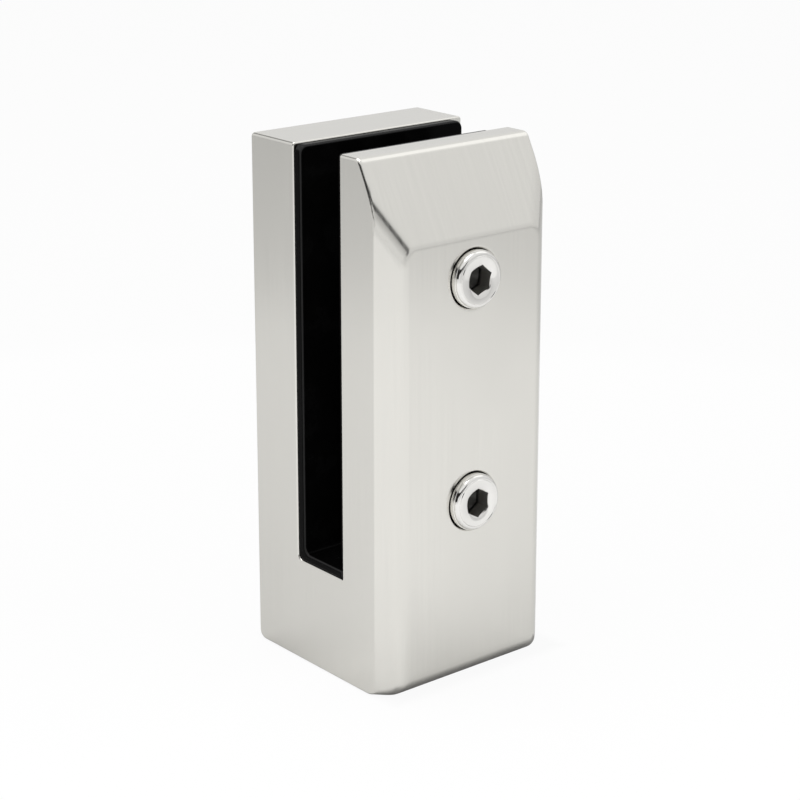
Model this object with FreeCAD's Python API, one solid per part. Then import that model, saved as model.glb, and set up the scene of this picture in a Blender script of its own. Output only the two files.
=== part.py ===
"""A side-mounted glass spigot: a slotted steel block, bolted to a wall, that clamps one edge of a glass pane.

Frame: X across the spigot, -Y to the front with the clamp bolts, +Y to the wall, +Z up. The origin is on the rear
mounting face, midway between the two fixing holes.
"""
import FreeCAD, Part
import math
import os

V = FreeCAD.Vector

# Body, in millimetres
WIDTH = 50.0
DEPTH = 49.6
HEIGHT = 125.2
REAR_WALL = 16.2
CORNER_CHAMFER = 4.8
CHAMFER_TOP_ROUND = 7.0
CHAMFER_BOTTOM_ROUND = 3.0
SHOULDER_RUN = 10.0
SHOULDER_DROP = 19.2
SHOULDER_TOP_BLEND = 2.0
BOTTOM_FRONT_RADIUS = 5.0
BOTTOM_REAR_RADIUS = 2.2
TOP_REAR_RADIUS = 1.0
OUTER_EDGE = 0.8
SMOOTH_ANGLE = 12.0

# Slot for the glass
SLOT_WIDTH = 16.8
SLOT_FLOOR = 25.4
SLOT_REAR_CORNER = 1.5
SLOT_JAW_CORNER = 0.4
SLOT_EDGE = 0.4

# Clamp bolts, M8 x 12 socket heads, and their holes in the jaw
LOWER_BOLT_HEIGHT = 43.7
BOLT_SPACING = 52.7
THREAD_DIAMETER = 8.0
THREAD_CLEARANCE = 0.06
BOLT_LENGTH = 12.0
BOLT_TIP_CHAMFER = 1.0
HEAD_DIAMETER = 13.4
HEAD_HEIGHT = 8.0
HEAD_ROUND = 1.0
HEAD_CLEARANCE = 0.3
HEX_ACROSS_FLATS = 6.1
HEX_DEPTH = 4.2
HEX_POINT_ANGLE = 120.0
UPPER_HEX_TURN = 80.0
LOWER_HEX_TURN = 90.0
HEAD_TRAVEL = 2.05
MOUTH_CHAMFER = 0.25

# Fixing holes in the rear wall, tapped M10, opposite the clamp bolts
FIXING_DRILL = 8.5
FIXING_DEPTH = 12.0
FIXING_MOUTH = 0.4
FIXING_POINT_ANGLE = 118.0

# Rubber liner: rear leg and floor
LINER_LEG = 2.5
LINER_FLOOR = 2.0
LINER_WIDTH = 48.2
LINER_SHIFT = -0.8
LINER_TOP_DROP = 0.4
LINER_TOP_CORNER = 2.0
LINER_INNER_RADIUS = 1.6
LINER_RIM = 0.6
LINER_END_GAP = 0.4
LINER_END_ROUND = 0.4
LINER_CORNER_GAP = 0.7

# Pressure plate and its rubber pad
PLATE_THICKNESS = 1.2
PLATE_RETREAT = 1.35
PLATE_SIDE_INSET = 4.0
PLATE_TOP_DROP = 1.9
PLATE_CORNER = 2.5
PAD_THICKNESS = 1.5
PAD_SIDE_INSET = 3.0
PAD_TOP_DROP = 1.0
PAD_CORNER = 1.0
CLAMP_FLOOR_GAP = 0.3

# Places worked out from the sizes above
FRONT = -DEPTH
JAW_BACK = -(REAR_WALL + SLOT_WIDTH)
BOTTOM = -(LOWER_BOLT_HEIGHT + BOLT_SPACING / 2)
TOP = BOTTOM + HEIGHT
SLOT_BOTTOM = BOTTOM + SLOT_FLOOR
LINER_FLOOR_TOP = SLOT_BOTTOM + LINER_FLOOR
CLAMP_BOTTOM = LINER_FLOOR_TOP + CLAMP_FLOOR_GAP
PLATE_FRONT = JAW_BACK + PLATE_RETREAT
UNDER_HEAD = PLATE_FRONT - BOLT_LENGTH
HEAD_TOP = UNDER_HEAD - HEAD_HEIGHT
HOLE_HEIGHTS = (-BOLT_SPACING / 2, BOLT_SPACING / 2)


def rounded_outline(corners):
    """A closed wire through corners (point, radius), with an arc at each corner whose radius isn't zero."""
    points = [point for point, radius in corners]
    arcs = []
    starts = []
    ends = []
    for i, (point, radius) in enumerate(corners):
        before = (points[i - 1] - point).normalize()
        after = (points[(i + 1) % len(points)] - point).normalize()
        half = before.getAngle(after) / 2
        reach = radius / math.tan(half)
        middle = point + (before + after).normalize() * (radius / math.sin(half) - radius)
        starts.append(point + before * reach)
        ends.append(point + after * reach)
        arcs.append(Part.Arc(starts[-1], middle, ends[-1]).toShape() if radius else None)
    chain = []
    for i, arc in enumerate(arcs):
        if arc:
            chain.append(arc)
        chain.append(Part.LineSegment(ends[i], starts[(i + 1) % len(points)]).toShape())
    return Part.Wire(chain)


def prism(corners, direction):
    """A solid swept from a rounded outline."""
    return Part.Face(rounded_outline(corners)).extrude(direction)


def side_prism(outline, left, right):
    """A solid with an outline seen from the side, as (y, z, radius), between two places across the spigot."""
    return prism([(V(left, y, z), radius) for y, z, radius in outline], V(right - left, 0, 0))


def front_prism(outline, front, back):
    """A solid with an outline seen from the front, as (x, z, radius), between two depths."""
    return prism([(V(x, front, z), radius) for x, z, radius in outline], V(0, back - front, 0))


def turned(outline, height):
    """A solid turned about a bolt's axis at a height, from a half section as (distance, y, radius)."""
    corners = [(V(distance, y, height), radius) for distance, y, radius in outline]
    return Part.Face(rounded_outline(corners)).revolve(V(0, 0, height), V(0, 1, 0), 360)


def point_depth(radius, angle):
    """How far a conical point reaches past its full diameter."""
    return radius / math.tan(math.radians(angle / 2))


def crease_angle(shape, edge):
    """The angle in degrees by which a surface turns across an edge, at the edge's middle."""
    middle = edge.valueAt((edge.FirstParameter + edge.LastParameter) / 2)
    normals = []
    for face in shape.ancestorsOfType(edge, Part.Face):
        normals.append(face.normalAt(*face.Surface.parameter(middle)))
    return math.degrees(normals[0].getAngle(normals[-1]))


def sharp_edges(shape):
    """The edges of a shape where its surface doesn't run on smoothly."""
    return [edge for edge in shape.Edges if crease_angle(shape, edge) > SMOOTH_ANGLE]


def chamfer_ends(shape, low, high):
    """The edges that run across the corner chamfers, between two heights."""
    found = []
    for edge in sharp_edges(shape):
        box = edge.BoundBox
        across = CORNER_CHAMFER / 2 < box.XLength < WIDTH / 2 and box.YLength > CORNER_CHAMFER / 2
        if across and low < box.Center.z < high:
            found.append(edge)
    return found


def outer_block():
    """The casting without slot and holes: side outline and chamfered plan, with rounded edges."""
    half = WIDTH / 2
    side_outline = [
        (0, BOTTOM, BOTTOM_REAR_RADIUS),
        (0, TOP, TOP_REAR_RADIUS),
        (FRONT + SHOULDER_RUN, TOP, SHOULDER_TOP_BLEND),
        (FRONT, TOP - SHOULDER_DROP, 0),
        (FRONT, BOTTOM, BOTTOM_FRONT_RADIUS),
    ]
    plan = [
        (half, 0),
        (half, FRONT + CORNER_CHAMFER),
        (half - CORNER_CHAMFER, FRONT),
        (CORNER_CHAMFER - half, FRONT),
        (-half, FRONT + CORNER_CHAMFER),
        (-half, 0),
    ]
    column = prism([(V(x, y, BOTTOM), 0) for x, y in plan], V(0, 0, HEIGHT))
    block = side_prism(side_outline, -half, half).common(column).removeSplitter()
    block = block.makeFillet(CHAMFER_TOP_ROUND, chamfer_ends(block, 0, TOP))
    block = block.makeFillet(CHAMFER_BOTTOM_ROUND, chamfer_ends(block, BOTTOM, 0))
    return block.makeFillet(OUTER_EDGE, sharp_edges(block))


def glass_slot():
    """What is cut out for the glass, past both sides and out of the top."""
    outline = [
        (-REAR_WALL, SLOT_BOTTOM, SLOT_REAR_CORNER),
        (JAW_BACK, SLOT_BOTTOM, SLOT_JAW_CORNER),
        (JAW_BACK, TOP + SLOT_WIDTH, 0),
        (-REAR_WALL, TOP + SLOT_WIDTH, 0),
    ]
    return side_prism(outline, -WIDTH, WIDTH)


def clamp_hole(height):
    """What is bored out of the jaw for one clamp bolt: mouth chamfer, counterbore and tapped hole."""
    bore = HEAD_DIAMETER / 2 + HEAD_CLEARANCE
    thread = THREAD_DIAMETER / 2 + THREAD_CLEARANCE
    floor = UNDER_HEAD + HEAD_TRAVEL
    outside = FRONT - HEAD_HEIGHT
    through = JAW_BACK + SLOT_WIDTH / 2
    outline = [
        (0, outside, 0),
        (bore + MOUTH_CHAMFER + HEAD_HEIGHT, outside, 0),
        (bore, FRONT + MOUTH_CHAMFER, 0),
        (bore, floor, 0),
        (thread, floor, 0),
        (thread, through, 0),
        (0, through, 0),
    ]
    return turned(outline, height)


def fixing_hole(height):
    """What is bored out of the rear wall for one fixing: a tapped blind hole with a drill point."""
    radius = FIXING_DRILL / 2
    outline = [
        (0, FIXING_DEPTH, 0),
        (radius + FIXING_MOUTH + FIXING_DEPTH, FIXING_DEPTH, 0),
        (radius, -FIXING_MOUTH, 0),
        (radius, -FIXING_DEPTH, 0),
        (0, -FIXING_DEPTH - point_depth(radius, FIXING_POINT_ANGLE), 0),
    ]
    return turned(outline, height)


def spigot_body():
    """The slotted casting with its shoulder, chamfers, rounded edges and holes."""
    body = outer_block().cut(glass_slot())
    body = body.makeFillet(SLOT_EDGE, sharp_edges(body))
    for height in HOLE_HEIGHTS:
        body = body.cut(clamp_hole(height))
        body = body.cut(fixing_hole(height))
    return body


def glass_liner():
    """The rubber rear leg and floor of the slot, in one moulding with rounded rims."""
    left = LINER_SHIFT - LINER_WIDTH / 2
    right = LINER_SHIFT + LINER_WIDTH / 2
    leg_front = -REAR_WALL - LINER_LEG
    floor_end = JAW_BACK + LINER_END_GAP
    top = TOP - LINER_TOP_DROP
    section = [
        (-REAR_WALL, top, 0),
        (-REAR_WALL, SLOT_BOTTOM, SLOT_REAR_CORNER + LINER_CORNER_GAP),
        (floor_end, SLOT_BOTTOM, LINER_END_ROUND),
        (floor_end, LINER_FLOOR_TOP, 0),
        (leg_front, LINER_FLOOR_TOP, LINER_INNER_RADIUS),
        (leg_front, top, 0),
    ]
    sheet = [
        (left, SLOT_BOTTOM, 0),
        (right, SLOT_BOTTOM, 0),
        (right, top, LINER_TOP_CORNER),
        (left, top, LINER_TOP_CORNER),
    ]
    moulding = side_prism(section, left, right)
    liner = moulding.common(front_prism(sheet, JAW_BACK, -REAR_WALL)).removeSplitter()
    rims = []
    for edge in sharp_edges(liner):
        box = edge.BoundBox
        if box.YMax < -REAR_WALL - LINER_LEG / 2 and box.ZMax > SLOT_BOTTOM + LINER_FLOOR / 2:
            rims.append(edge)
    return liner.makeFillet(LINER_RIM, rims)


def clamp_sheet(front, thickness, inset, drop, corner):
    """A flat sheet across the slot with rounded corners, from its front face backwards."""
    side = WIDTH / 2 - inset
    outline = [
        (-side, CLAMP_BOTTOM, corner),
        (side, CLAMP_BOTTOM, corner),
        (side, TOP - drop, corner),
        (-side, TOP - drop, corner),
    ]
    return front_prism(outline, front, front + thickness)


def pressure_plate():
    """The steel plate that the bolts push."""
    return clamp_sheet(PLATE_FRONT, PLATE_THICKNESS, PLATE_SIDE_INSET, PLATE_TOP_DROP, PLATE_CORNER)


def front_pad():
    """The rubber pad bonded to the plate, a little larger than it."""
    return clamp_sheet(PLATE_FRONT + PLATE_THICKNESS, PAD_THICKNESS, PAD_SIDE_INSET, PAD_TOP_DROP, PAD_CORNER)


def clamp_bolt(height, hex_turn):
    """A socket head bolt: round-edged head, plain shank of the thread's diameter, hexagon socket."""
    head = HEAD_DIAMETER / 2
    shank = THREAD_DIAMETER / 2
    outline = [
        (0, HEAD_TOP, 0),
        (head, HEAD_TOP, HEAD_ROUND),
        (head, UNDER_HEAD, 0),
        (shank, UNDER_HEAD, 0),
        (shank, PLATE_FRONT - BOLT_TIP_CHAMFER, 0),
        (shank - BOLT_TIP_CHAMFER, PLATE_FRONT, 0),
        (0, PLATE_FRONT, 0),
    ]
    inner = HEX_ACROSS_FLATS / 2
    corner = inner / math.cos(math.radians(30))
    hexagon = []
    for i in range(6):
        angle = math.radians(hex_turn + 60 * i)
        hexagon.append((corner * math.cos(angle), height + corner * math.sin(angle), 0))
    socket = front_prism(hexagon, HEAD_TOP, HEAD_TOP + HEX_DEPTH)
    point = Part.makeCone(
        inner, 0, point_depth(inner, HEX_POINT_ANGLE), V(0, HEAD_TOP + HEX_DEPTH, height), V(0, 1, 0)
    )
    return turned(outline, height).cut(socket).cut(point)


def main():
    os.makedirs("parts", exist_ok=True)
    lower, upper = HOLE_HEIGHTS
    nodes = {
        "spigot_body": spigot_body(),
        "glass_liner": glass_liner(),
        "pressure_plate": pressure_plate(),
        "front_pad": front_pad(),
        "upper_clamp_bolt": clamp_bolt(upper, UPPER_HEX_TURN),
        "lower_clamp_bolt": clamp_bolt(lower, LOWER_HEX_TURN),
    }
    for name, shape in nodes.items():
        shape.exportStep("parts/" + name + ".step")


main()
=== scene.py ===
"""Finishes and fine parts of a side-mounted glass spigot.

A brushed steel casting with a rubber-lined glass slot, a sliding clamp plate and two polished socket head bolts.
"""
import math

import bmesh
import bpy
from bpy.props import FloatProperty, FloatVectorProperty, IntProperty, PointerProperty
from bpy.types import NodeSocket, Operator, Panel, PropertyGroup
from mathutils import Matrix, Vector


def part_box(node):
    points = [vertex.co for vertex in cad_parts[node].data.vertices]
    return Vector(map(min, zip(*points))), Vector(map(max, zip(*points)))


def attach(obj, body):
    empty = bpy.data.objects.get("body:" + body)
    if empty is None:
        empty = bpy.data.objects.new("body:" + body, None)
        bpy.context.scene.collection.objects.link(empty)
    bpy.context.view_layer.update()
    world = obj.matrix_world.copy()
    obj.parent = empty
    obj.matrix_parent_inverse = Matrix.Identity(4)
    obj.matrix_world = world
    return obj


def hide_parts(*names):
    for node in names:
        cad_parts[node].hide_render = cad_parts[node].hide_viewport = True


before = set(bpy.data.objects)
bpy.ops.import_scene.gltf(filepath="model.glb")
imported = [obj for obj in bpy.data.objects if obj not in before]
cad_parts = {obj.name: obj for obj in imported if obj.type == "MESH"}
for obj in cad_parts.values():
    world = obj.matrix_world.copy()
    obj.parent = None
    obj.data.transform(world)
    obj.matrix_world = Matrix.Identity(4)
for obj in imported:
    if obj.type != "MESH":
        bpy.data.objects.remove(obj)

bl_info = {
    "name": "Glass Spigot",
    "version": (1, 0, 0),
    "blender": (4, 5, 0),
    "location": "3D View > Sidebar > Spigot",
    "description": "Finishes and fine parts of a side-mounted glass spigot",
    "category": "Object",
}

MM = 0.001
DEGREE = math.radians(1)
TURN = 2 * math.pi
BLACK = (0.0, 0.0, 0.0)

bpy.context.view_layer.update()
BODY_LOW, BODY_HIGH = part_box("spigot_body")
BOLT_LOW, BOLT_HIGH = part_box("upper_clamp_bolt")
BOLT_HEIGHT = (BOLT_LOW.z + BOLT_HIGH.z) / 2
# Each bolt's body, the height of its axis and how far its socket is turned.
BOLTS = {
    "upper_clamp_bolt": ("upper_bolt", BOLT_HEIGHT, 80 * DEGREE),
    "lower_clamp_bolt": ("lower_bolt", -BOLT_HEIGHT, 90 * DEGREE),
}

# Threads of the fixing holes in the rear wall.
FIXING_RADIUS = 4.25 * MM
FIXING_DEPTH = 12.0 * MM
FIXING_PITCH = 1.5 * MM
FIXING_RELIEF = 0.9 * MM

# Dished mouths of the bolt holes, from the outer edge to the rim.
MOUTH_EDGE = 7.8 * MM
MOUTH_RIM = 6.9 * MM
MOUTH_RELIEF = 0.02 * MM

# Shares of a thread's pitch, from one root to the next crest.
ROOT_SHARE = 0.25
FLANK_SHARE = 0.3125
CREST_SHARE = 0.125

# Painted light and shade on the floor that the steel mirrors, as shares of the floor's colour: the floor outside
# the painted pool of light, painted shade behind the spigot and close to its foot, and a painted shadow under it.
PAINTED_OUTSIDE_POOL_SHADE = 0.82
PAINTED_BEHIND_SHADE = 0.735
PAINTED_CLOSE_SHADE = 0.92
PAINTED_UNDER_SHADOW = 0.4
# How much of the floor's plain white the camera sees, and the steel.
WHITE_SEEN = 0.94
WHITE_MIRRORED = 0.05

# Dark flags and a pale card in the room, by their bearings and their rises in degrees: where each starts, where it
# is full, where it begins to fade and where it ends.
FLAGS = (
    ((-7, -2, 8, 13), (2, 6, 28, 33)),
    ((-70, -60, -14, -8), (13, 17, 30, 34)),
    ((-118, -105, -58, -50), (1, 4, 34, 38)),
)
CARD = ((-50, -42, -24, -16), (-10, -2, 6, 11))
CARD_LIGHT = 0.15
# A round flag behind the spigot: its bearing and rise, the radii of its core and its soft edge, and its strength.
REAR_FLAG = (180, 37, 10, 18)
REAR_FLAG_STRENGTH = 0.7
# Each lamp's bearing and rise in degrees, its distance and its side.
OVERHEAD_SOFTBOX = (-150, 79, 0.75, 0.5)
SIDE_SOFTBOX = (76, 46, 1.0, 0.6)

SOCKETS = {float: "NodeSocketFloat", int: "NodeSocketInt", type(None): "NodeSocketMaterial"}


class BoltSizes(PropertyGroup):
    """Sizes of the two clamp bolts."""

    head_radius: FloatProperty(
        name="Head Radius", description="Outside radius of the bolt's head",
        subtype="DISTANCE", unit="LENGTH", default=(BOLT_HIGH.x - BOLT_LOW.x) / 2, precision=5,
    )
    head_height: FloatProperty(
        name="Head Height", description="From the top of the head to its underside",
        subtype="DISTANCE", unit="LENGTH", default=8.0 * MM, precision=5,
    )
    edge_round: FloatProperty(
        name="Edge Round", description="Rounding of the head's upper edge",
        subtype="DISTANCE", unit="LENGTH", default=0.9 * MM, precision=5,
    )
    socket_flats: FloatProperty(
        name="Socket Flats", description="Across the flats of the hexagon socket",
        subtype="DISTANCE", unit="LENGTH", default=6.1 * MM, precision=5,
    )
    socket_depth: FloatProperty(
        name="Socket Depth", description="Depth of the hexagon socket's walls",
        subtype="DISTANCE", unit="LENGTH", default=4.2 * MM, precision=5,
    )
    thread_radius: FloatProperty(
        name="Thread Radius", description="Outside radius of the thread",
        subtype="DISTANCE", unit="LENGTH", default=4.0 * MM, precision=5,
    )
    thread_depth: FloatProperty(
        name="Thread Depth", description="From the thread's crest to its root",
        subtype="DISTANCE", unit="LENGTH", default=0.677 * MM, precision=6,
    )
    thread_pitch: FloatProperty(
        name="Thread Pitch", description="Travel of the bolt in one turn",
        subtype="DISTANCE", unit="LENGTH", default=1.25 * MM, precision=5,
    )
    segments: IntProperty(
        name="Segments", description="Faces round the bolt, a multiple of six",
        default=96, min=24, max=240, step=6,
    )


class Finishes(PropertyGroup):
    """Colours and surface of the spigot's materials."""

    steel: FloatVectorProperty(
        name="Brushed Steel", description="Colour of the casting",
        subtype="COLOR", size=3, min=0.0, max=1.0, default=(0.740, 0.728, 0.687),
    )
    steel_roughness: FloatProperty(
        name="Steel Roughness", description="Roughness of the brushed faces",
        subtype="FACTOR", min=0.0, max=1.0, default=0.2,
    )
    polish: FloatVectorProperty(
        name="Polished Steel", description="Colour of the bolts",
        subtype="COLOR", size=3, min=0.0, max=1.0, default=(0.82, 0.81, 0.785),
    )
    socket: FloatVectorProperty(
        name="Socket", description="Colour of the bolts' dull hexagon sockets",
        subtype="COLOR", size=3, min=0.0, max=1.0, default=(0.58, 0.57, 0.54),
    )
    rubber: FloatVectorProperty(
        name="Rubber", description="Colour of the liner and the pad",
        subtype="COLOR", size=3, min=0.0, max=1.0, default=(0.002, 0.002, 0.002),
    )
    grain_width: FloatProperty(
        name="Grain Width", description="Width of the brush lines",
        subtype="DISTANCE", unit="LENGTH", default=0.5 * MM, precision=5,
    )
    grain_length: FloatProperty(
        name="Grain Length", description="Length of the brush lines",
        subtype="DISTANCE", unit="LENGTH", default=35.0 * MM, precision=4,
    )


class StageSettings(PropertyGroup):
    """The floor, the light and the camera."""

    floor_size: FloatProperty(
        name="Floor Size", description="Side of the square floor",
        subtype="DISTANCE", unit="LENGTH", default=6.0,
    )
    floor_colour: FloatVectorProperty(
        name="Floor Colour", description="Colour of the floor round the spigot",
        subtype="COLOR", size=3, min=0.0, max=1.0, default=(0.98, 0.98, 0.98),
    )
    # The radius of the painted pool of light on the floor.
    pool: FloatProperty(
        name="Painted Light Pool", description="Radius of the palest part of the floor",
        subtype="DISTANCE", unit="LENGTH", default=0.375,
    )
    room_low: FloatProperty(
        name="Room at Eye Level", description="Light of the room at the horizon", default=0.77, min=0.0,
    )
    room_high: FloatProperty(
        name="Room Above", description="Light of the room overhead", default=0.91, min=0.0,
    )
    flag: FloatProperty(
        name="Flag", description="Light left where a dark flag stands", default=0.02, min=0.0,
    )
    overhead_power: FloatProperty(
        name="Overhead Power", description="Power of the softbox overhead", unit="POWER", default=2.7, min=0.0,
    )
    side_power: FloatProperty(
        name="Side Power", description="Power of the softbox on the right", unit="POWER", default=0.4, min=0.0,
    )
    camera_place: FloatVectorProperty(
        name="Camera Place", description="Where the camera stands",
        subtype="TRANSLATION", unit="LENGTH", size=3, default=(-0.31189, -0.39933, 0.15155),
    )
    camera_aim: FloatVectorProperty(
        name="Camera Aim", description="Direction in which the camera looks",
        subtype="DIRECTION", size=3, default=(0.61569, 0.74174, -0.26598),
    )
    lens: FloatProperty(name="Lens", description="Focal length in millimetres", default=97.98, min=1.0)
    picture_drop: FloatProperty(
        name="Picture Drop", description="How far the picture lies below the lens axis, in picture widths",
        default=0.1303,
    )


class Wiring:
    """Adds nodes to one tree and joins them."""

    def __init__(self, tree):
        self.tree = tree

    def add(self, kind, **settings):
        """A new node with its settings."""
        made = self.tree.nodes.new(kind)
        for name, value in settings.items():
            setattr(made, name, value)
        return made

    def feed(self, socket, value):
        """Joins a socket to another node's socket, or sets its value."""
        if isinstance(value, NodeSocket):
            self.tree.links.new(value, socket)
        else:
            socket.default_value = value

    def step(self, kind, given, **values):
        """A node that changes a geometry, with its other inputs by name, as the changed geometry."""
        made = self.add(kind)
        self.feed(made.inputs["Geometry"], given)
        for name, value in values.items():
            self.feed(made.inputs[name.replace("_", " ").title()], value)
        return made.outputs["Geometry"]

    def math(self, operation, first, second=0.0, clamp=False):
        """A sum of two values, or of one."""
        made = self.add("ShaderNodeMath", operation=operation, use_clamp=clamp)
        self.feed(made.inputs[0], first)
        self.feed(made.inputs[1], second)
        return made.outputs[0]

    def product(self, *values):
        """Several values multiplied."""
        result = values[0]
        for value in values[1:]:
            result = self.math("MULTIPLY", result, value)
        return result

    def largest(self, *values):
        """The largest of several values."""
        result = values[0]
        for value in values[1:]:
            result = self.math("MAXIMUM", result, value)
        return result

    def vector(self, operation, first, second):
        """A sum of two vectors, as a vector, or as a value for a dot product."""
        made = self.add("ShaderNodeVectorMath", operation=operation)
        self.feed(made.inputs[0], first)
        self.feed(made.inputs[1], second)
        return made.outputs["Value" if operation == "DOT_PRODUCT" else "Vector"]

    def length(self, vector):
        """The length of a vector."""
        return self.math("SQRT", self.vector("DOT_PRODUCT", vector, vector))

    def split(self, vector):
        """The three parts of a vector."""
        made = self.add("ShaderNodeSeparateXYZ")
        self.feed(made.inputs[0], vector)
        return made.outputs

    def unsigned(self, value):
        """A value without its sign."""
        return self.math("ABSOLUTE", value)

    def join(self, x, y, z):
        """A vector from its three parts."""
        made = self.add("ShaderNodeCombineXYZ")
        for socket, value in zip(made.inputs, (x, y, z)):
            self.feed(socket, value)
        return made.outputs[0]

    def spread(self, value, low, high, start=0.0, end=1.0, kind="SMOOTHSTEP"):
        """A value taken from one range to another, eased at its ends."""
        made = self.add("ShaderNodeMapRange", interpolation_type=kind, clamp=True)
        for socket, given in zip(made.inputs, (value, low, high, start, end)):
            self.feed(socket, given)
        return made.outputs[0]

    def between(self, value, start, full, last, end):
        """A mask for angles, in degrees, that rises from one to a second and falls from a third to a fourth."""
        rising = self.spread(value, start * DEGREE, full * DEGREE)
        return self.product(rising, self.spread(value, end * DEGREE, last * DEGREE))

    def bearing(self, vector):
        """The angle from the front to the right at which a vector points."""
        parts = self.split(vector)
        return self.math("ARCTAN2", parts[0], self.product(parts[1], -1.0))

    def noise(self, where, scale, detail=2.0, roughness=0.5):
        """A noise value at a place."""
        made = self.add("ShaderNodeTexNoise", noise_dimensions="3D")
        for name, value in (("Vector", where), ("Scale", scale), ("Detail", detail), ("Roughness", roughness)):
            self.feed(made.inputs[name], value)
        return made.outputs[0]

    def blend(self, factor, first, second):
        """A value between two values."""
        made = self.add("ShaderNodeMix", data_type="FLOAT")
        for socket, value in zip((made.inputs[0], made.inputs[2], made.inputs[3]), (factor, first, second)):
            self.feed(socket, value)
        return made.outputs[0]

    def tint(self, factor, first, second):
        """A colour between two colours."""
        made = self.add("ShaderNodeMix", data_type="RGBA")
        for socket, value in zip((made.inputs[0], made.inputs[6], made.inputs[7]), (factor, first, second)):
            self.feed(socket, value if isinstance(value, (NodeSocket, float)) else (*value, 1.0))
        return made.outputs[2]

    def group(self, tree, **values):
        """A shader node group placed with its own values."""
        made = self.add("ShaderNodeGroup", node_tree=tree)
        for name, value in values.items():
            self.feed(made.inputs[name.replace("_", " ").title()], value)
        return made.outputs


def new_group(name, kind, inputs, outputs, output_kind="NodeSocketFloat"):
    """An empty node group, as its wiring, its input sockets and its output sockets."""
    tree = bpy.data.node_groups.new(name, kind)
    for label, default in inputs.items():
        socket = tree.interface.new_socket(name=label, in_out="INPUT", socket_type=SOCKETS[type(default)])
        if default is not None:
            socket.default_value = default
    for label in outputs:
        tree.interface.new_socket(name=label, in_out="OUTPUT", socket_type=output_kind)
    wiring = Wiring(tree)
    return wiring, wiring.add("NodeGroupInput").outputs, wiring.add("NodeGroupOutput").inputs


def brush_grain_group():
    """Brush lines that run up the block's faces and along its top, and uneven patches."""
    if "Brush Grain" in bpy.data.node_groups:
        return bpy.data.node_groups["Brush Grain"]
    inputs = {"Line Width": 0.5 * MM, "Line Length": 35 * MM, "Patch Size": 25 * MM}
    w, given, made = new_group("Brush Grain", "ShaderNodeTree", inputs, ("Grain", "Patches"))
    where = w.add("ShaderNodeTexCoord").outputs
    place = where["Object"]
    across = w.math("DIVIDE", 1.0, given["Line Width"])
    along = w.math("DIVIDE", 1.0, given["Line Length"])
    lines = {"scale": 1.0, "detail": 4.0, "roughness": 0.65}
    fore = w.noise(w.vector("MULTIPLY", place, w.join(across, along, along)), **lines)
    flank = w.noise(w.vector("MULTIPLY", place, w.join(along, across, along)), **lines)
    facing = w.split(where["Normal"])
    aside = w.spread(w.largest(w.unsigned(facing[0]), w.unsigned(facing[2])), 0.75, 0.9)
    w.feed(made["Grain"], w.blend(aside, fore, flank))
    patches = w.noise(place, w.math("DIVIDE", 1.0, given["Patch Size"]))
    w.feed(made["Patches"], w.spread(patches, 0.3, 0.7))
    return w.tree


def hole_axis_group():
    """How far a point lies from the nearer hole's axis, its turn about that axis, from 0 to 1, and its depth."""
    if "Hole Axis" in bpy.data.node_groups:
        return bpy.data.node_groups["Hole Axis"]
    outputs = ("Distance", "Turn", "Depth")
    w, given, made = new_group("Hole Axis", "ShaderNodeTree", {"Height": BOLT_HEIGHT}, outputs)
    across, depth, up = w.split(w.add("ShaderNodeTexCoord").outputs["Object"])
    rise = w.math("SUBTRACT", w.unsigned(up), given["Height"])
    square = w.math("ADD", w.product(across, across), w.product(rise, rise))
    w.feed(made["Distance"], w.math("SQRT", square))
    side = w.product(rise, w.math("SIGN", up))
    w.feed(made["Turn"], w.math("DIVIDE", w.math("ARCTAN2", side, across), TURN))
    w.feed(made["Depth"], depth)
    return w.tree


def rubber_skin_group():
    """Fine grain of moulded rubber, a thin uneven bloom on it, and a mask of its rounded edges towards the glass,
    where a highlight is painted.
    """
    if "Rubber Skin" in bpy.data.node_groups:
        return bpy.data.node_groups["Rubber Skin"]
    inputs = {"Grain Size": 0.3 * MM, "Bloom Size": 9 * MM}
    w, given, made = new_group("Rubber Skin", "ShaderNodeTree", inputs, ("Grain", "Bloom", "Edge"))
    where = w.add("ShaderNodeTexCoord").outputs
    place = where["Object"]
    w.feed(made["Grain"], w.noise(place, w.math("DIVIDE", 1.0, given["Grain Size"]), 3.0, 0.6))
    bloom = w.noise(place, w.math("DIVIDE", 1.0, given["Bloom Size"]), 4.0, 0.6)
    w.feed(made["Bloom"], w.spread(bloom, 0.45, 0.75))
    facing = w.split(where["Normal"])
    inward = w.spread(w.math("SUBTRACT", facing[2], facing[1]), 0.3, 0.6)
    slopes = [w.unsigned(part) for part in facing]
    rounded = w.spread(w.largest(*slopes), 0.97, 0.85)
    # The hollow corner at the slot's bottom faces the same way as the upper rim, so height tells them apart.
    upper = w.spread(w.split(place)[2], 0.0, 10.0 * MM)
    rim = w.largest(w.spread(slopes[0], 0.1, 0.3), upper)
    # The Edge mask is where the rubber is painted paler, as a painted highlight along the rim.
    w.feed(made["Edge"], w.product(rounded, inward, rim))
    return w.tree


def new_material(name, **sockets):
    """A material with its shader's plain values set, as the material, its wiring and its shader."""
    material = bpy.data.materials.new(name)
    material.use_nodes = True
    shader = material.node_tree.nodes["Principled BSDF"]
    for label, value in sockets.items():
        shader.inputs[label.replace("_", " ").title().replace("Ior", "IOR")].default_value = value
    return material, Wiring(material.node_tree), shader


def shaded(colour, amount):
    """A colour made darker or lighter."""
    return tuple(min(1.0, part * amount) for part in colour)


def relief(w, height, strength, distance, under=None):
    """Fine relief on a surface, over another relief where there is one, as a normal."""
    made = w.add("ShaderNodeBump")
    made.inputs["Strength"].default_value = strength
    made.inputs["Distance"].default_value = distance
    w.feed(made.inputs["Height"], height)
    if under:
        w.feed(made.inputs["Normal"], under)
    return made.outputs[0]


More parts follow.
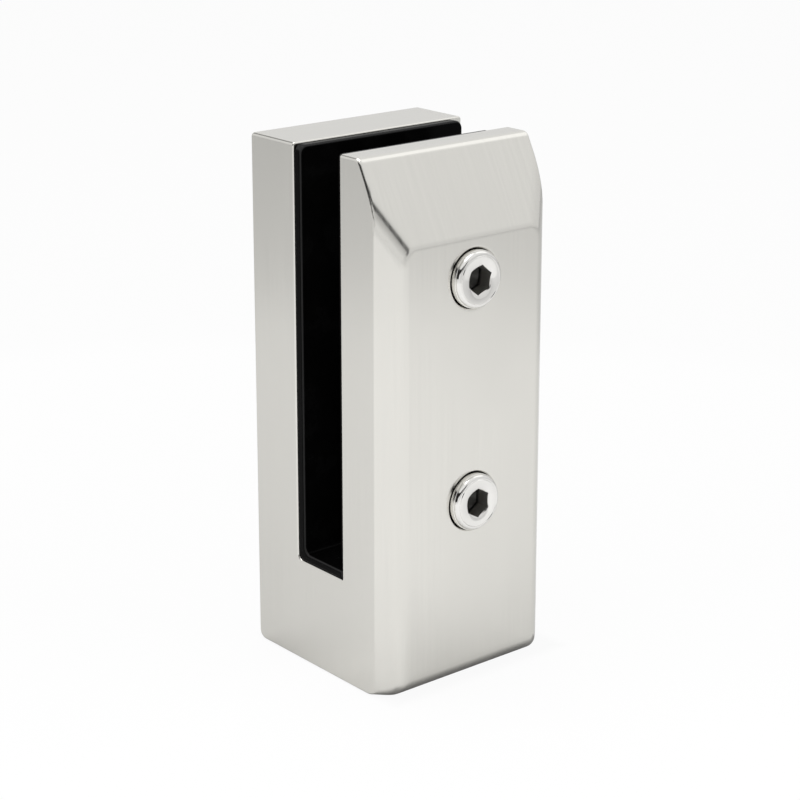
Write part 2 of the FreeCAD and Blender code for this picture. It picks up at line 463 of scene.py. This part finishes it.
def brushed_steel(name, colour, roughness, finishes):
    """Satin steel with fine brush lines, dished mouths of the bolt holes and threads in the fixing holes, whose
    roots are painted darker as painted shade.
    """
    material, w, shader = new_material(name, metallic=1.0)
    brushed = w.group(brush_grain_group(), line_width=finishes.grain_width, line_length=finishes.grain_length)
    grain = w.spread(brushed["Grain"], 0.3, 0.7, kind="LINEAR")
    toned = w.tint(grain, shaded(colour, 0.972), shaded(colour, 1.022))
    uneven = w.tint(w.product(brushed["Patches"], 0.5), toned, shaded(colour, 0.98))
    hole = w.group(hole_axis_group())
    near = w.spread(hole["Distance"], FIXING_RADIUS + 0.35 * MM, FIXING_RADIUS + 0.15 * MM)
    inside = w.product(near, w.spread(hole["Depth"], -FIXING_DEPTH - 1 * MM, -FIXING_DEPTH))
    turns = w.math("ADD", w.math("DIVIDE", hole["Depth"], FIXING_PITCH), hole["Turn"])
    ridge = w.math("PINGPONG", turns, 0.5)
    # Painted shade: the thread roots in the fixing holes are painted darker.
    painted_root_shade = w.product(inside, w.spread(ridge, 0.15, 0.35))
    w.feed(shader.inputs["Base Color"], w.tint(painted_root_shade, uneven, shaded(colour, 0.45)))
    by_grain = w.spread(grain, 0.0, 1.0, roughness - 0.03, roughness + 0.03, "LINEAR")
    by_patch = w.spread(brushed["Patches"], 0.0, 1.0, -0.02, 0.02, "LINEAR")
    satin = w.math("ADD", by_grain, by_patch)
    w.feed(shader.inputs["Roughness"], w.math("ADD", satin, w.product(inside, 0.15)))
    cut = relief(w, w.product(inside, w.math("SUBTRACT", 0.5, ridge)), 1.0, FIXING_RELIEF)
    in_front = w.spread(hole["Depth"], BODY_LOW.y + 0.1 * MM, BODY_LOW.y + 0.05 * MM)
    dished = w.product(w.spread(hole["Distance"], MOUTH_EDGE, MOUTH_RIM), in_front)
    mouth = relief(w, w.math("SUBTRACT", 1.0, dished), 1.0, MOUTH_RELIEF, cut)
    w.feed(shader.inputs["Normal"], relief(w, grain, 0.03, 0.02 * MM, mouth))
    return material


def polished_steel(name, finishes, sizes):
    """Polished steel with faint turning rings, a dull socket with painted shade towards its floor, and a duller
    thread.
    """
    material, w, shader = new_material(name, metallic=1.0)
    hole = w.group(hole_axis_group())
    ring_pitch = 0.35 * MM
    rings = w.math("SINE", w.product(hole["Distance"], TURN / ring_pitch))
    place = w.add("ShaderNodeTexCoord").outputs["Object"]
    smears = w.spread(w.noise(place, 900.0, 4.0, 0.6), 0.4, 0.7)
    top = BOLT_LOW.y
    corner = sizes.socket_flats / 2 / math.cos(30 * DEGREE)
    near = w.spread(hole["Distance"], corner + 0.10 * MM, corner + 0.04 * MM)
    sunk = w.spread(hole["Depth"], top + 0.15 * MM, top + 0.4 * MM)
    below = w.spread(hole["Depth"], top + sizes.head_height - 0.1 * MM, top + sizes.head_height)
    socket = w.product(near, w.math("SUBTRACT", sunk, below, clamp=True))
    foot = top + sizes.socket_depth
    # Painted shade: the socket is painted darker towards its floor.
    painted_socket_shade = w.spread(hole["Depth"], foot - 1.2 * MM, foot - 0.1 * MM)
    worn = w.tint(w.product(smears, 0.25), finishes.polish, shaded(finishes.polish, 0.93))
    dull_and_painted_shade = w.tint(painted_socket_shade, finishes.socket, shaded(finishes.socket, 0.1))
    head = w.tint(socket, worn, dull_and_painted_shade)
    w.feed(shader.inputs["Base Color"], w.tint(below, head, shaded(finishes.polish, 0.8)))
    gloss = w.blend(socket, w.spread(smears, 0.0, 1.0, 0.05, 0.12, "LINEAR"), 0.42)
    w.feed(shader.inputs["Roughness"], w.blend(below, gloss, 0.3))
    w.feed(shader.inputs["Normal"], relief(w, w.math("ADD", rings, smears), 0.025, 0.004 * MM))
    return material


def black_rubber(name, colour):
    """Moulded rubber, nearly black, with a soft sheen and a painted highlight along its rounded edges."""
    material, w, shader = new_material(name, specular_ior_level=0.03)
    skin = w.group(rubber_skin_group())
    bloomed = w.tint(skin["Bloom"], colour, shaded(colour, 2.2))
    # The rounded edges are painted paler: a painted highlight.
    w.feed(shader.inputs["Base Color"], w.tint(skin["Edge"], bloomed, shaded(colour, 14.0)))
    w.feed(shader.inputs["Roughness"], w.spread(skin["Bloom"], 0.0, 1.0, 0.22, 0.34, "LINEAR"))
    w.feed(shader.inputs["Normal"], relief(w, skin["Grain"], 0.12, 0.03 * MM))
    return material


def give(node, material):
    """Puts a material on every slot of a node."""
    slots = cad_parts[node].data.materials
    for place in range(len(slots)):
        slots[place] = material


def bolt_thread_tree():
    """A right-hand screw thread about an axis along Y, run out under the head and chamfered at its tip."""
    if "Bolt Thread" in bpy.data.node_groups:
        return bpy.data.node_groups["Bolt Thread"]
    inputs = {
        "Radius": 4.0 * MM, "Depth": 0.677 * MM, "Pitch": 1.25 * MM, "Length": 12.0 * MM,
        "Start": 0.0, "Height": 0.0, "Turn": 0.0, "Segments": 96, "Material": None,
    }
    w, given, made = new_group("Bolt Thread", "GeometryNodeTree", inputs, ("Geometry",), "NodeSocketGeometry")
    pitch, length = given["Pitch"], given["Length"]
    # Each turn has four rows: both sides of the root, then both sides of the crest. Three turns are spare.
    turns_needed = w.math("ADD", w.math("CEIL", w.math("DIVIDE", length, pitch)), 3.0)
    rows = w.product(turns_needed, 4.0)
    grid = w.add("GeometryNodeMeshGrid")
    for name, value in (("Size X", 1.0), ("Size Y", 1.0), ("Vertices X", w.math("ADD", given["Segments"], 1.0)),
                        ("Vertices Y", w.math("ADD", rows, 1.0))):
        w.feed(grid.inputs[name], value)
    parts = w.split(w.add("GeometryNodeInputPosition").outputs[0])
    round_it = w.math("ADD", parts[0], 0.5)
    row = w.math("ROUND", w.product(w.math("ADD", parts[1], 0.5), rows))
    which = w.math("MODULO", row, 4.0)
    root = w.math("MINIMUM", which, 1.0)
    flank = w.math("SUBTRACT", which, 1.0, clamp=True)
    crest = w.math("SUBTRACT", which, 2.0, clamp=True)
    rising = w.math("ADD", w.product(flank, FLANK_SHARE), w.product(crest, CREST_SHARE))
    offset = w.math("ADD", w.product(root, ROOT_SHARE), rising)
    turns = w.math("ADD", w.math("ADD", w.math("FLOOR", w.math("DIVIDE", row, 4.0)), offset), round_it)
    climb = w.product(w.math("SUBTRACT", turns, 2.0), pitch)
    along = w.math("MINIMUM", w.math("MAXIMUM", climb, 0.0), length)
    sunk = w.product(w.math("SUBTRACT", 1.0, flank), w.spread(along, 0.6 * MM, 2.2 * MM))
    radius = w.math("SUBTRACT", given["Radius"], w.product(given["Depth"], sunk))
    past = w.math("SUBTRACT", along, w.math("SUBTRACT", length, 1.0 * MM))
    tip = w.math("SUBTRACT", given["Radius"], w.math("MAXIMUM", past, 0.0))
    left = w.math("DIVIDE", w.math("SUBTRACT", w.math("ADD", length, pitch), climb), pitch, clamp=True)
    reach = w.product(w.math("MINIMUM", radius, tip), left)
    angle = w.math("ADD", w.product(round_it, TURN), given["Turn"])
    place = w.join(
        w.product(reach, w.math("COSINE", angle)),
        w.math("ADD", given["Start"], along),
        w.math("SUBTRACT", given["Height"], w.product(reach, w.math("SINE", angle))),
    )
    shape = w.step("GeometryNodeSetPosition", grid.outputs["Mesh"], position=place)
    shape = w.step("GeometryNodeMergeByDistance", shape, distance=0.001 * MM)
    shape = w.step("GeometryNodeSetShadeSmooth", shape)
    shape = w.step("GeometryNodeRealizeInstances", shape)
    w.feed(made["Geometry"], w.step("GeometryNodeSetMaterial", shape, material=given["Material"]))
    return w.tree


def grown(tree, **values):
    """The plain mesh that a Geometry Nodes tree makes from its inputs' values."""
    carrier = bpy.data.objects.new(tree.name, bpy.data.meshes.new(tree.name))
    bpy.context.scene.collection.objects.link(carrier)
    nodes = carrier.modifiers.new(tree.name, "NODES")
    nodes.node_group = tree
    for item in tree.interface.items_tree:
        if item.in_out == "INPUT":
            nodes[item.identifier] = values[item.name.lower()]
    graph = bpy.context.evaluated_depsgraph_get()
    made = bpy.data.meshes.new_from_object(carrier.evaluated_get(graph))
    carrier.modifiers.remove(nodes)
    bpy.data.objects.remove(carrier)
    return made


def ring_of(mesh, radii, depths, height, turn):
    """A ring of points round a bolt's axis, from a distance and a depth for each."""
    points = []
    for i, (radius, depth) in enumerate(zip(radii, depths)):
        angle = turn + TURN * i / len(radii)
        points.append(mesh.verts.new((radius * math.cos(angle), depth, height + radius * math.sin(angle))))
    return points


def bridge(mesh, first, second):
    """Faces between two rings of points."""
    for i in range(len(first)):
        following = (i + 1) % len(first)
        mesh.faces.new((first[i], first[following], second[following], second[i]))


def head_outline(sizes):
    """Half section of the head from its flat top down to the thread, as (distance, depth below the top)."""
    radius, rounding = sizes.head_radius, sizes.edge_round
    ledge, step, chamfer = 0.12 * MM, 0.04 * MM, 0.3 * MM
    flat = radius - ledge - rounding
    # A fine groove parts the flat top from the rounded band.
    outline = [(flat - 0.22 * MM, 0.0), (flat - 0.12 * MM, 0.10 * MM), (flat - 0.01 * MM, step)]
    first_angle, swing, pieces = 8, 82, 12
    for place in range(pieces + 1):
        angle = (first_angle + swing * place / pieces) * DEGREE
        outline.append((flat + rounding * math.sin(angle), step + rounding * (1 - math.cos(angle))))
    shelf = step + rounding + 0.05 * MM
    outline += [
        (flat + rounding, shelf),
        (radius - 0.06 * MM, shelf + 0.02 * MM),
        (radius - 0.015 * MM, shelf + 0.05 * MM),
        (radius, shelf + 0.11 * MM),
        (radius, sizes.head_height - chamfer),
        (radius - chamfer, sizes.head_height),
        (sizes.thread_radius, sizes.head_height),
    ]
    return outline


def clamp_bolt(node, height, turn, sizes, material):
    """A bolt with its hexagon socket and its thread, as an object."""
    mesh = bmesh.new()
    count = sizes.segments
    top = BOLT_LOW.y
    inner = sizes.socket_flats / 2
    half_side = 30 * DEGREE
    lead_in = inner / math.cos(half_side) + 0.12 * MM
    hexagon = [inner / math.cos((TURN * i / count) % (60 * DEGREE) - half_side) for i in range(count)]
    floor_depth = top + sizes.socket_depth
    point = 0.4 * MM
    slope = math.sqrt(3)
    profile = [
        ([point] * count, [floor_depth + (inner - point) / slope] * count),
        ([inner] * count, [floor_depth] * count),
        ([r - 0.01 * MM for r in hexagon], [floor_depth - 0.01 * MM] * count),
        (hexagon, [floor_depth - 0.05 * MM] * count),
        (hexagon, [top + (lead_in - r) / slope for r in hexagon]),
        ([lead_in] * count, [top] * count),
    ]
    profile += [([radius] * count, [top + depth] * count) for radius, depth in head_outline(sizes)]
    rings = [ring_of(mesh, radii, depths, height, turn) for radii, depths in profile]
    for first, second in zip(rings, rings[1:]):
        bridge(mesh, first, second)
    mesh.faces.new(rings[0])
    start = top + sizes.head_height
    mesh.from_mesh(grown(
        bolt_thread_tree(), radius=sizes.thread_radius, depth=sizes.thread_depth, pitch=sizes.thread_pitch,
        length=BOLT_HIGH.y - start, start=start, height=height, turn=-turn, segments=count, material=material,
    ))
    return finished(mesh, node.replace("clamp_bolt", "socket_bolt"), material)


def finished(mesh, name, material, crease=32.0):
    """A bmesh as an object of the scene, with its faces turned outwards and its sharp edges kept."""
    bmesh.ops.remove_doubles(mesh, verts=mesh.verts, dist=0.001 * MM)
    bmesh.ops.recalc_face_normals(mesh, faces=mesh.faces)
    data = bpy.data.meshes.new(name)
    mesh.to_mesh(data)
    mesh.free()
    data.materials.append(material)
    data.shade_smooth()
    data.set_sharp_from_angle(angle=crease * DEGREE)
    made = bpy.data.objects.new(name, data)
    bpy.context.scene.collection.objects.link(made)
    return made


class SPIGOT_OT_casting(Operator):
    """Gives the slotted casting its brushed finish"""

    bl_idname = "spigot.casting"
    bl_label = "Casting"

    def execute(self, context):
        finishes = context.scene.spigot_finishes
        give("spigot_body", brushed_steel("Brushed Steel", finishes.steel, finishes.steel_roughness, finishes))
        return {"FINISHED"}


class SPIGOT_OT_rubbers(Operator):
    """Gives the liner and the pad their rubber"""

    bl_idname = "spigot.rubbers"
    bl_label = "Rubbers"

    def execute(self, context):
        colour = context.scene.spigot_finishes.rubber
        give("glass_liner", black_rubber("Liner Rubber", colour))
        give("front_pad", black_rubber("Pad Rubber", colour))
        return {"FINISHED"}


class SPIGOT_OT_clamp_plate(Operator):
    """Gives the pressure plate its rolled steel"""

    bl_idname = "spigot.clamp_plate"
    bl_label = "Clamp Plate"

    def execute(self, context):
        finishes = context.scene.spigot_finishes
        rolled, rolled_roughness = shaded(finishes.steel, 0.9), 0.42
        give("pressure_plate", brushed_steel("Rolled Sheet", rolled, rolled_roughness, finishes))
        return {"FINISHED"}


class SPIGOT_OT_clamp_bolts(Operator):
    """Builds the two socket head bolts"""

    bl_idname = "spigot.clamp_bolts"
    bl_label = "Clamp Bolts"

    def execute(self, context):
        sizes = context.scene.spigot_bolts
        polish = polished_steel("Polished Steel", context.scene.spigot_finishes, sizes)
        for node, (body, height, turn) in BOLTS.items():
            give(node, polish)
            made = clamp_bolt(node, height, turn, sizes, polish)
            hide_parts(node)
            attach(made, body)
        return {"FINISHED"}


class SPIGOT_OT_stage(Operator):
    """Sets up the floor, the light and the camera"""

    bl_idname = "spigot.stage"
    bl_label = "Stage"

    def execute(self, context):
        settings = context.scene.spigot_stage
        floor(settings)
        studio_world(settings)
        softbox("Overhead Softbox", *OVERHEAD_SOFTBOX, settings.overhead_power)
        softbox("Side Softbox", *SIDE_SOFTBOX, settings.side_power)
        camera(settings)
        context.scene.view_settings.view_transform = "Standard"
        return {"FINISHED"}


def direction(bearing, rise):
    """A direction from its bearing, in degrees from the front to the right, and its rise in degrees."""
    bearing *= DEGREE
    rise *= DEGREE
    return Vector((math.sin(bearing) * math.cos(rise), -math.cos(bearing) * math.cos(rise), math.sin(rise)))


def painted_floor_light(w, place, pool):
    """How pale the floor is painted at a place, counted from the spigot's foot: a painted pool of light, painted
    shade behind the spigot and close to its foot, and a painted shadow under it.
    """
    corner, ahead = direction(-50, 0), direction(-32, 0)
    pool_offset, pool_edge = 0.12, 0.02
    from_foot = w.length(place)
    from_middle = w.length(w.vector("SUBTRACT", place, corner * pool_offset))
    to_corner = w.math("DIVIDE", w.vector("DOT_PRODUCT", place, corner), from_foot)
    # A painted pool of light round the spigot; outside it the floor is painted darker, except towards the front
    # left corner.
    outside_pool_shade = w.spread(to_corner, 0.7, 0.95, PAINTED_OUTSIDE_POOL_SHADE, 1.0)
    painted_pool = w.blend(w.spread(from_middle, pool + pool_edge, pool - pool_edge), outside_pool_shade, 1.0)
    facing = w.math("DIVIDE", w.vector("DOT_PRODUCT", place, ahead), from_foot)
    # Painted shade behind the spigot and close to its foot.
    painted_behind_shade = w.spread(facing, -0.4, 0.6, PAINTED_BEHIND_SHADE, 1.0, "LINEAR")
    painted_close_shade = w.spread(from_foot, 0.0, 0.3, PAINTED_CLOSE_SHADE, 1.0)
    # The painted shadow under the spigot lies a little to the right, so that only the bottom front edge mirrors
    # it.
    shift = Vector((2.5 * MM, 0.0, 0.0))
    across, along, _ = w.split(w.vector("SUBTRACT", place, shift))
    past_side = w.math("SUBTRACT", w.unsigned(across), BODY_HIGH.x)
    past_front = w.math("SUBTRACT", w.unsigned(along), -BODY_LOW.y / 2)
    under = w.spread(w.largest(past_side, past_front), 3.4 * MM, -1.0 * MM, 1.0, PAINTED_UNDER_SHADOW)
    return w.product(painted_pool, painted_behind_shade, painted_close_shade, under)


def floor(settings):
    """A floor that shows white and keeps the spigot's soft shadow, with a painted pool of light round the spigot
    and in front of it, and painted shade behind, close to and under it, which the steel mirrors.
    """
    material, w, shader = new_material("Floor With Painted Light", roughness=0.9, specular_ior_level=0.0)
    foot = Vector((0.0, BODY_LOW.y / 2, BODY_LOW.z))
    place = w.vector("SUBTRACT", w.add("ShaderNodeTexCoord").outputs["Object"], foot)
    # The floor's colour carries this painted light and shade.
    painted_floor_tone = painted_floor_light(w, place, settings.pool)
    w.feed(shader.inputs["Base Color"], w.tint(painted_floor_tone, BLACK, settings.floor_colour))
    white = w.add("ShaderNodeEmission")
    rays = w.add("ShaderNodeLightPath").outputs
    mirrored = w.math("ADD", rays["Is Glossy Ray"], rays["Is Transmission Ray"])
    seen = w.math("ADD", w.product(rays["Is Camera Ray"], WHITE_SEEN), w.product(mirrored, WHITE_MIRRORED))
    mixed = w.add("ShaderNodeMixShader")
    for socket, value in zip(mixed.inputs, (seen, shader.outputs[0], white.outputs[0])):
        w.feed(socket, value)
    w.feed(material.node_tree.nodes["Material Output"].inputs["Surface"], mixed.outputs[0])
    mesh = bmesh.new()
    half = settings.floor_size / 2
    corners = ((-half, -half), (half, -half), (half, half), (-half, half))
    mesh.faces.new([mesh.verts.new((x, y, BODY_LOW.z - 0.05 * MM)) for x, y in corners])
    finished(mesh, "Floor", material)


def patch(w, where, bearing, rise, core, edge):
    """A round patch of the room with a soft edge, its radii in degrees."""
    near = w.vector("DOT_PRODUCT", where, direction(bearing, rise))
    return w.spread(near, math.cos(edge * DEGREE), math.cos(core * DEGREE))


def studio_world(settings):
    """A pale room, white to the camera, with dark flags round the spigot and a pale card low in front of it."""
    world = bpy.data.worlds.new("Studio")
    world.use_nodes = True
    bpy.context.scene.world = world
    w = Wiring(world.node_tree)
    where = w.add("ShaderNodeTexCoord").outputs["Generated"]
    bearing = w.bearing(where)
    rise = w.math("ARCSINE", w.split(where)[2])

    def board(bearings, rises):
        """A flat board with soft edges."""
        return w.product(w.between(bearing, *bearings), w.between(rise, *rises))

    room = w.spread(rise, 0.0, 40 * DEGREE, settings.room_low, settings.room_high)
    rear = w.product(patch(w, where, *REAR_FLAG), REAR_FLAG_STRENGTH)
    flags = w.largest(rear, *(board(*flag) for flag in FLAGS))
    carded = w.math("ADD", room, w.product(board(*CARD), CARD_LIGHT))
    lit = w.blend(flags, carded, settings.flag)
    rays = w.add("ShaderNodeLightPath").outputs
    background = world.node_tree.nodes["Background"]
    w.feed(background.inputs["Color"], w.blend(rays["Is Camera Ray"], lit, 1.0))


def softbox(name, bearing, rise, distance, size, power):
    """A square lamp that shines at the spigot's middle."""
    lamp = bpy.data.lights.new(name, "AREA")
    lamp.shape = "SQUARE"
    lamp.size = size
    lamp.energy = power
    made = bpy.data.objects.new(name, lamp)
    made.location = direction(bearing, rise) * distance
    made.rotation_mode = "QUATERNION"
    aim = (BODY_LOW + BODY_HIGH) / 2 - made.location
    made.rotation_quaternion = aim.to_track_quat("-Z", "Y")
    bpy.context.scene.collection.objects.link(made)


def camera(settings):
    """The camera at the viewing angle."""
    data = bpy.data.cameras.new("Camera")
    data.lens = settings.lens
    data.sensor_width = 36.0
    data.shift_y = -settings.picture_drop
    data.clip_start = 0.01
    made = bpy.data.objects.new("Camera", data)
    made.location = settings.camera_place
    made.rotation_mode = "QUATERNION"
    made.rotation_quaternion = Vector(settings.camera_aim).to_track_quat("-Z", "Y")
    bpy.context.scene.collection.objects.link(made)
    bpy.context.scene.camera = made


class SPIGOT_PT_panel(Panel):
    """The spigot's pieces, sizes and colours"""

    bl_idname = "SPIGOT_PT_panel"
    bl_label = "Glass Spigot"
    bl_space_type = "VIEW_3D"
    bl_region_type = "UI"
    bl_category = "Spigot"

    def draw(self, context):
        for operator in OPERATORS:
            self.layout.operator(operator.bl_idname)
        for name in GROUPS:
            group = getattr(context.scene, name)
            box = self.layout.box()
            for setting in group.__annotations__:
                box.prop(group, setting)


OPERATORS = (SPIGOT_OT_casting, SPIGOT_OT_rubbers, SPIGOT_OT_clamp_plate, SPIGOT_OT_clamp_bolts, SPIGOT_OT_stage)
GROUPS = {"spigot_bolts": BoltSizes, "spigot_finishes": Finishes, "spigot_stage": StageSettings}


def register():
    """Adds the classes and the scene's settings."""
    for kind in (*GROUPS.values(), *OPERATORS, SPIGOT_PT_panel):
        bpy.utils.register_class(kind)
    for name, kind in GROUPS.items():
        setattr(bpy.types.Scene, name, PointerProperty(type=kind))


def unregister():
    """Takes away what register added."""
    for name in GROUPS:
        delattr(bpy.types.Scene, name)
    for kind in (SPIGOT_PT_panel, *reversed(OPERATORS), *reversed(GROUPS.values())):
        bpy.utils.unregister_class(kind)


def main():
    """Builds every piece and the stage."""
    register()
    bpy.ops.spigot.casting()
    bpy.ops.spigot.rubbers()
    bpy.ops.spigot.clamp_plate()
    bpy.ops.spigot.clamp_bolts()
    bpy.ops.spigot.stage()


if __name__ == "__main__":
    main()
